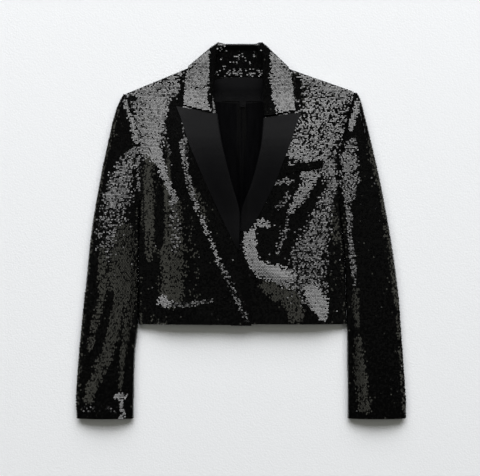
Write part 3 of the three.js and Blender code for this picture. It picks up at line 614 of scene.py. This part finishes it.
def sew_sequins(piece, finish, seed, strokes, nap):
    """Covers a piece's outside with sequins, as one joined mesh."""
    chance = random.Random(seed)
    bounded = [(stroke, stroke_bounds(stroke)) for stroke in strokes]
    points = bmesh.new()
    turn = points.verts.layers.float_vector.new("turn")
    for at, facing in sequin_places(piece):
        shade = stroked(bounded, *in_picture(at), chance) if facing.z > STROKED_FROM else None
        leaned = sequin_facing(facing, shade, nap, chance)
        vert = points.verts.new(at + facing * (PROUD + SIDE_PROUD * abs(facing.x)))
        vert[turn] = Vector(leaned.to_track_quat("Z", "Y").to_euler())
    mesh = bpy.data.meshes.new("points")
    points.to_mesh(mesh)
    points.free()
    name = piece.name.replace("_cloth", "_sequins")
    sewn = bpy.data.objects.new(name, mesh)
    bpy.context.scene.collection.objects.link(sewn)
    sewn.modifiers.new("discs", "NODES").node_group = SEQUIN_TREE
    made = sewn.evaluated_get(bpy.context.evaluated_depsgraph_get())
    sewn_mesh = bpy.data.meshes.new_from_object(made)
    sewn.modifiers.clear()
    sewn.data = sewn_mesh
    sewn_mesh.name = name
    sewn_mesh.materials.clear()
    sewn_mesh.materials.append(finish)
    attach(sewn, "root")
    print(name, len(mesh.vertices), "sequins")
    return sewn


# %% [markdown]
# The finishes. A sequin is black glossy foil with nothing printed on it. The ground under it is a dull
# black mesh. The lapels are a dense satin with a fine diagonal twill, the lining is a thin smooth satin
# with a soft ripple, and the tapes are ribbed. All of them are close to black, because the light is strong
# and only the shine should show.

# %% Finishes
FOIL_BLACK = (0.0012, 0.0012, 0.0012, 1)
THREAD_BLACK = (0.003, 0.003, 0.004, 1)
GROUND_BLACKS = ((0.001, 0.001, 0.001), (0.003, 0.003, 0.003))
SATIN_BLACKS = ((0.0011, 0.0011, 0.0016), (0.0026, 0.0026, 0.0033))
LINING_BLACKS = ((0.0002, 0.0002, 0.0004), (0.0010, 0.0010, 0.0016))
TAPE_BLACKS = ((0.0008, 0.0008, 0.0012), (0.002, 0.002, 0.0026))
TWILL = 0.9 * MM
TWILL_WAY = (0.8, 0.6)
RIB = 0.8 * MM
RIPPLE_STRETCH = (2.5, 0.5, 1)
sequin_foil = Finish("sequin_foil", Base_Color=FOIL_BLACK, Roughness=0.19, Specular_IOR_Level=0.55)

ground = Finish("sequin_ground", Roughness=0.8, Specular_IOR_Level=0.1)
ground.colour(ground.noise(1.5 * MM), *GROUND_BLACKS)
ground.bump(ground.noise(0.8 * MM), 0.2 * MM)

satin = Finish("lapel_satin", Specular_IOR_Level=0.1)
twill = (satin.along(*TWILL_WAY) * (2 * math.pi / TWILL)).sine()
cloudy = satin.noise(22 * MM, 3.0)
satin.colour(cloudy * 0.7 + twill * 0.15, *SATIN_BLACKS)
satin.rough(cloudy * 0.1 + 0.5)
satin.bump(twill * 0.5 + satin.noise(0.5 * MM), 0.03 * MM)

lining = Finish("lining_satin", Specular_IOR_Level=0.07)
ripple = lining.noise(14 * MM, 3.0, RIPPLE_STRETCH)
lining.colour(ripple, *LINING_BLACKS)
lining.rough(ripple * 0.2 + 0.3)
lining.bump(lining.noise(0.4 * MM), 0.02 * MM)

tape = Finish("label_tape", Specular_IOR_Level=0.08)
rib = (tape.along(0, 1) * (2 * math.pi / RIB)).sine()
tape.colour(rib * 0.5 + 0.5, *TAPE_BLACKS)
tape.rough(rib * 0.05 + 0.65)
tape.bump(rib, 0.05 * MM)

thread = Finish("sewing_thread", Base_Color=THREAD_BLACK, Roughness=0.6, Specular_IOR_Level=0.1)
print("finishes:", [made.material.name for made in (sequin_foil, ground, satin, lining, tape, thread)])

# %% [markdown]
# The creases are the ones the photograph shows, each a soft ridge or trough from one point to another.
# Points, widths and heights are in millimetres, and a trough has a height below zero. The body and the
# sleeves have their own tables. Noise over the whole cloth could crease it too, but it would look crumpled
# and not worn.

# %% Creases
BODY_CREASES = [
    Crease(-150, 200, -120, 60, 14, 2.5),
    Crease(-112, 150, -60, -60, 7, 1.6),
    Crease(-60, 40, 8, -160, 6, 1.6),
    Crease(-168, 112, -168, -45, 7, 1.4),
    Crease(-145, 60, -143, -60, 5, -1.2),
    Crease(-118, 50, -129, -130, 9, 1.7),
    Crease(-86, 40, -58, -130, 9, -1.4),
    Crease(17, -5, 42, -84, 8, 1.6),
    Crease(32, -66, 110, -100, 9, 1.9),
    Crease(92, -80, 146, -165, 10, 1.5),
    Crease(48, -20, 70, -62, 7, -1.3),
    Crease(146, 106, 62, -48, 7, -1.6),
    Crease(122, 84, 78, -20, 6, 1.5),
    Crease(150, 60, 118, -110, 13, 1.4),
]
SLEEVE_CREASES = [
    Crease(-235, 150, -245, -40, 14, 2.0),
    Crease(-252, -20, -279, -225, 6, 1.5),
    Crease(-236, -95, -264, -232, 4, -1.3),
    Crease(-218, -80, -284, -318, 8, 1.7),
    Crease(-200, -70, -223, -296, 5, 1.2),
    Crease(-258, 40, -222, -60, 6, -1.0),
    Crease(203, 70, 208, -100, 5, 1.3),
    Crease(216, -190, 230, -330, 7, 1.5),
    Crease(241, 160, 290, -140, 9, 1.3),
    Crease(226, 20, 246, -170, 8, -1.1),
]

# %% [markdown]
# The sequinned pieces. Each one is cloth first and sequins second, and its row lists the sheet that it was
# cut from. Its flat width and length are in metres and its area is in square metres. Cuts says how many
# times each side of a cell is cut. The pieces underneath keep the solid's own cells, because they rest flat
# and don't show.

# %% Sequinned pieces
Cut = namedtuple("Cut", "node width length area held rests_on cuts creases")
STROKES = {
    "front_right": FRONT_RIGHT_STROKES,
    "side_panel_right": FRONT_RIGHT_STROKES,
    "front_left": FRONT_LEFT_STROKES,
    "side_panel_left": FRONT_LEFT_STROKES,
    "upper_sleeve_right": SLEEVE_RIGHT_STROKES,
    "upper_sleeve_left": SLEEVE_LEFT_STROKES,
    "collar_fall": COLLAR_STROKES,
    "collar_stand": STAND_STROKES,
    "chest_welt": [Stroke("dark", 0.99, [(270, 180, 20), (325, 162, 20)])],
}
SEQUINNED = [
    Cut("front_right", 0.215, 0.500, 0.0790, "laid", "back", 3, BODY_CREASES),
    Cut("front_left", 0.235, 0.500, 0.0840, "laid", "back", 3, BODY_CREASES),
    Cut("side_panel_right", 0.085, 0.232, 0.0165, "laid", "back", 3, BODY_CREASES),
    Cut("side_panel_left", 0.075, 0.232, 0.0140, "laid", "back", 3, BODY_CREASES),
    Cut("back", 0.425, 0.465, 0.1560, "laid", "collar_fall", 0, ()),
    Cut("upper_sleeve_right", 0.190, 0.610, 0.0790, "laid", "under_sleeve_right", 3, SLEEVE_CREASES),
    Cut("upper_sleeve_left", 0.190, 0.610, 0.0790, "laid", "under_sleeve_left", 3, SLEEVE_CREASES),
    Cut("under_sleeve_right", 0.082, 0.560, 0.0310, "laid", "upper_sleeve_right", 0, ()),
    Cut("under_sleeve_left", 0.082, 0.560, 0.0310, "laid", "upper_sleeve_left", 0, ()),
    Cut("collar_fall", 0.470, 0.080, 0.0240, "folded", "front_right", 3, ()),
    Cut("collar_stand", 0.102, 0.054, 0.0047, "laid", "back", 2, ()),
    Cut("chest_welt", 0.086, 0.020, 0.0010, "laid", "front_left", 2, BODY_CREASES),
]
flat_area = {}


def measured(piece):
    """Half the closed wall's surface, in square metres."""
    return sum(face.area for face in piece.data.polygons) / 2


for number, cut in enumerate(SEQUINNED):
    piece = cloth_from(cut.node, cut.cuts, cut.creases)
    piece.data.materials.clear()
    piece.data.materials.append(ground.material)
    sequins = sew_sequins(
        piece, sequin_foil.material, seed=number, strokes=STROKES.get(cut.node, ()),
        nap=-1 if cut.node == "collar_stand" else 1,
    )
    flat_area[cut.node] = (round(measured(piece), 4), cut.area)
print("measured and cut areas:", flat_area)

# %% [markdown]
# The two tapes are held by a row of machine stitches along each end. A stitch is a short round length of
# thread, half sunk in the tape, and rays from above find the tape under it. A texture could draw the
# stitches, but they are thick enough to catch the light.

# %% Stitches on the tapes
THREAD = 0.22 * MM
STITCH = 1.5 * MM
STITCH_STEP = 2.3 * MM
FROM_EDGE = 1.2 * MM
THREAD_SIDES = 6


def stitch_ends(piece):
    """Rows of stitches along the left and right ends of a tape, as one mesh."""
    form = smooth_sides(piece)
    tree = BVHTree.FromBMesh(form)
    low_x, high_x = (pick(vert.co.x for vert in form.verts) for pick in (min, max))
    low_y, high_y = (pick(vert.co.y for vert in form.verts) for pick in (min, max))
    rows = bmesh.new()
    for x in (low_x + FROM_EDGE, high_x - FROM_EDGE):
        y = low_y + FROM_EDGE
        while y + STITCH < high_y:
            ends = [tree.ray_cast(Vector((x, y + reach, FAR)), DOWN)[0] for reach in (0, STITCH)]
            if None not in ends:
                run = ends[1] - ends[0]
                turned = run.to_track_quat("Z", "X").to_matrix().to_4x4()
                turned.translation = (ends[0] + ends[1]) / 2
                bmesh.ops.create_cone(
                    rows, cap_ends=True, segments=THREAD_SIDES, radius1=THREAD, radius2=THREAD,
                    depth=run.length, matrix=turned,
                )
            y += STITCH_STEP
    form.free()
    name = piece.name.replace("_cloth", "_stitches")
    mesh = bpy.data.meshes.new(name)
    rows.to_mesh(mesh)
    rows.free()
    mesh.materials.append(thread.material)
    stitches = bpy.data.objects.new(name, mesh)
    bpy.context.scene.collection.objects.link(stitches)
    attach(stitches, "root")
    print(name, len(mesh.polygons) // (THREAD_SIDES + 2), "stitches")
    return stitches


# %% [markdown]
# The plain pieces: the satin lapels, the facing, the lining and the two blank tapes. Their columns are
# those of the sequinned pieces, with a finish and a slot beside them.

# %% Plain pieces
PLAIN = [
    (Cut("lapel_right", 0.122, 0.275, 0.0134, "laid", "front_right", 3, BODY_CREASES), satin, "satin"),
    (Cut("lapel_left", 0.112, 0.235, 0.0110, "laid", "front_left", 3, BODY_CREASES), satin, "satin"),
    (Cut("neck_facing", 0.116, 0.048, 0.0051, "laid", "back", 2, ()), satin, "satin"),
    (Cut("back_lining", 0.150, 0.310, 0.0400, "laid", "back", 2, ()), lining, "lining"),
    (Cut("label", 0.072, 0.018, None, "laid", "neck_facing", 2, ()), tape, "tape"),
    (Cut("size_tab", 0.011, 0.0105, None, "laid", "back_lining", 2, ()), tape, "tape"),
]
for cut, finish, slot in PLAIN:
    piece = cloth_from(cut.node, cut.cuts, cut.creases)
    piece.data.materials.clear()
    piece.data.materials.append(finish.material)
    sewn = [stitch_ends(piece)] if slot == "tape" else []
    print(cut.node, "area", round(measured(piece), 4), "cut", cut.area)

# %% [markdown]
# The paper under the jacket is white with a faint tooth. It isn't part of the jacket.

# %% Paper
PAPER = 6.0
PAPER_UNDER = 0.8 * MM
PAPER_WHITES = ((0.86, 0.875, 0.905), (0.91, 0.925, 0.955))
paper = Finish("paper", Specular_IOR_Level=0.1, Roughness=0.9)
tooth = paper.noise(3 * MM, 4.0)
paper.colour(tooth, *PAPER_WHITES)
paper.bump(tooth, 0.4 * MM)
sheet = bmesh.new()
bmesh.ops.create_grid(sheet, x_segments=1, y_segments=1, size=PAPER / 2)
bmesh.ops.translate(sheet, verts=sheet.verts, vec=(0, 0, -PAPER_UNDER))
floor_mesh = bpy.data.meshes.new("paper")
sheet.to_mesh(floor_mesh)
sheet.free()
floor_mesh.materials.append(paper.material)
floor = bpy.data.objects.new("paper", floor_mesh)
bpy.context.scene.collection.objects.link(floor)
print("paper:", PAPER, "m wide")
